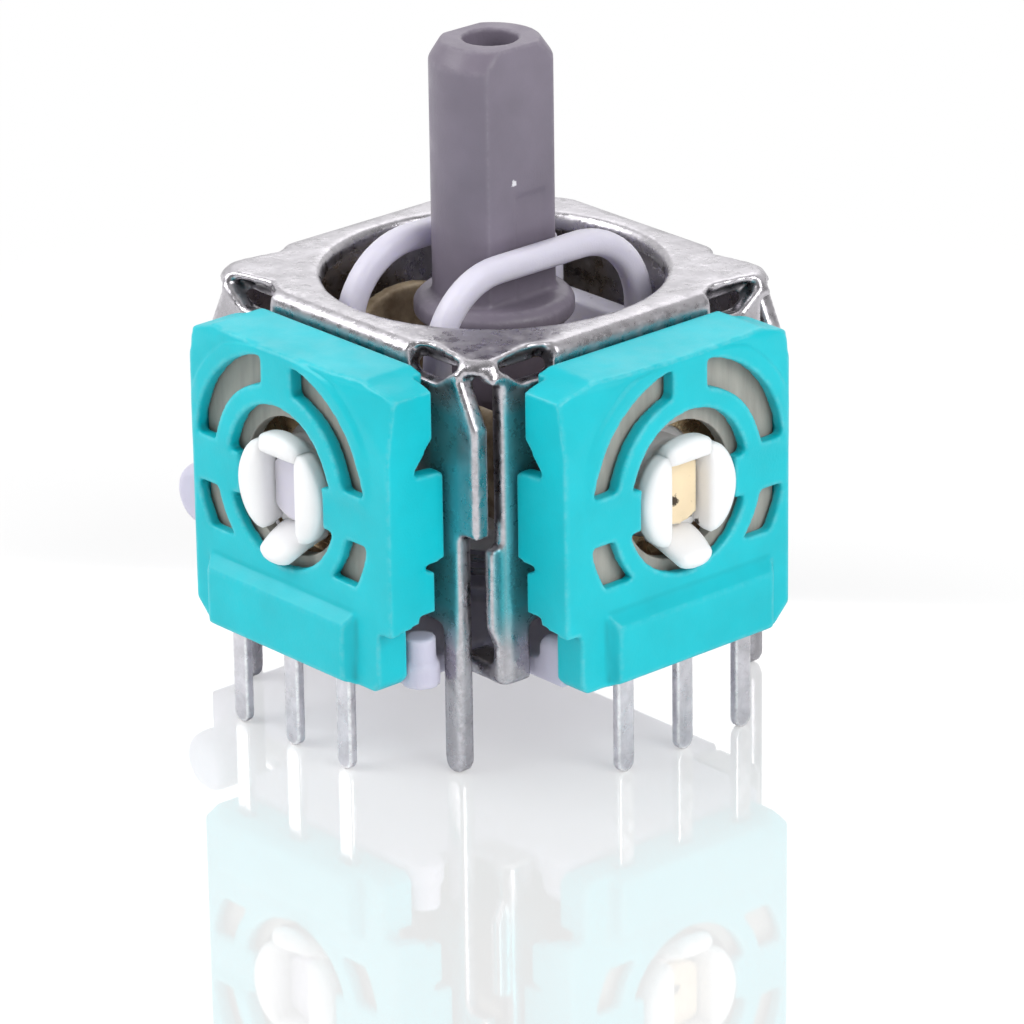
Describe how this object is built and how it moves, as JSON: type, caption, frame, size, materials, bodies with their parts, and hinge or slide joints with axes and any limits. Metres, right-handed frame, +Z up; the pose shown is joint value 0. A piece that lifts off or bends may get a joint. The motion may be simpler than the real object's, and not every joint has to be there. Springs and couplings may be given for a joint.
{
  "type": "controller analog stick",
  "caption": "Two-axis analog stick module: sprung lever in a folded metal frame, rotary pots with teal covers on adjacent sides and a push switch opposite.",
  "frame": {"origin": "middle of the base's underside, the face that rests on the circuit board, under the lever's axis", "axes": "+Z up along the lever; the front pot faces -Y, the side pot faces +X and the switch stands on the -X side"},
  "size_m": [0.0199, 0.0163, 0.0213],
  "materials": {
    "plated_sheet": "bright plated",
    "lilac_grey_plastic": "satin",
    "mauve_grey_plastic": "satin",
    "lilac_nylon": "satin, slightly translucent",
    "cream_nylon": "satin",
    "teal_plastic": "satin",
    "white_acetal": "satin",
    "grey_beige_board": "matt",
    "contact_alloy": "bright",
    "tinned_blade": "bright tinned",
    "spring_steel": "bright",
    "black_plastic": "satin"
  },
  "bodies": {
    "root": {"metal_frame": "plated_sheet", "base": "lilac_grey_plastic", "coil_spring": "spring_steel", "switch_body": "black_plastic", "switch_cover": "plated_sheet", "switch_dome": "spring_steel", "front_pot_housing": "teal_plastic", "front_film_board": "grey_beige_board", "front_terminal_1": "tinned_blade", "front_terminal_2": "tinned_blade", "front_terminal_3": "tinned_blade", "side_pot_housing": "teal_plastic", "side_film_board": "grey_beige_board", "side_terminal_1": "tinned_blade", "side_terminal_2": "tinned_blade", "side_terminal_3": "tinned_blade", "switch_terminal_1": "tinned_blade", "switch_terminal_2": "tinned_blade", "switch_terminal_3": "tinned_blade", "switch_terminal_4": "tinned_blade"},
    "side_axis": {"side_rotor": "white_acetal", "side_wiper": "contact_alloy"},
    "lower_yoke": {"lower_yoke": "cream_nylon", "pivot_pin": "spring_steel"},
    "stick": {"stick": "mauve_grey_plastic"},
    "upper_yoke": {"upper_yoke": "lilac_nylon", "front_rotor": "white_acetal", "front_wiper": "contact_alloy"},
    "switch_plunger": {"switch_plunger": "white_acetal"},
    "spring_seat": {"spring_seat": "white_acetal"}
  },
  "joints": [
    {"name": "tilt_side", "type": "hinge", "parent": "root", "child": "side_axis", "pos_m": [0, 0, 0.0056], "axis": [1, 0, 0], "range_deg": [-15, 15], "stiffness_Nm_per_rad": 0.01},
    {"name": "press", "type": "hinge", "parent": "side_axis", "child": "lower_yoke", "pos_m": [0.0075, 0, 0.0056], "axis": [0, -1, 0], "range_deg": [0, 1.06], "stiffness_Nm_per_rad": 0.5},
    {"name": "tilt_front", "type": "hinge", "parent": "lower_yoke", "child": "stick", "pos_m": [0, 0, 0.0056], "axis": [0, 1, 0], "range_deg": [-15, 15], "stiffness_Nm_per_rad": 0.01},
    {"name": "arch_tilt", "type": "hinge", "parent": "root", "child": "upper_yoke", "pos_m": [0, 0, 0.0056], "axis": [0, 1, 0], "range_deg": [-15.1, 15.1]},
    {"name": "plunger_travel", "type": "slide", "parent": "root", "child": "switch_plunger", "axis": [0, 0, -1], "range_m": [0, 0.00046], "stiffness_N_per_m": 0.05, "springref_m": -0.0012},
    {"name": "seat_travel", "type": "slide", "parent": "root", "child": "spring_seat", "axis": [0, 0, -1], "range_m": [0, 0.00022], "stiffness_N_per_m": 0.05, "springref_m": -0.003, "deforming": ["coil_spring"]}
  ],
  "couplings": [
    {"joint": "arch_tilt", "follows": "tilt_front", "ratio": 1},
    {"joint": "plunger_travel", "follows": "press", "m_per_rad": 0.0161},
    {"joint": "seat_travel", "follows": "press", "m_per_rad": 0.0075}
  ]
}
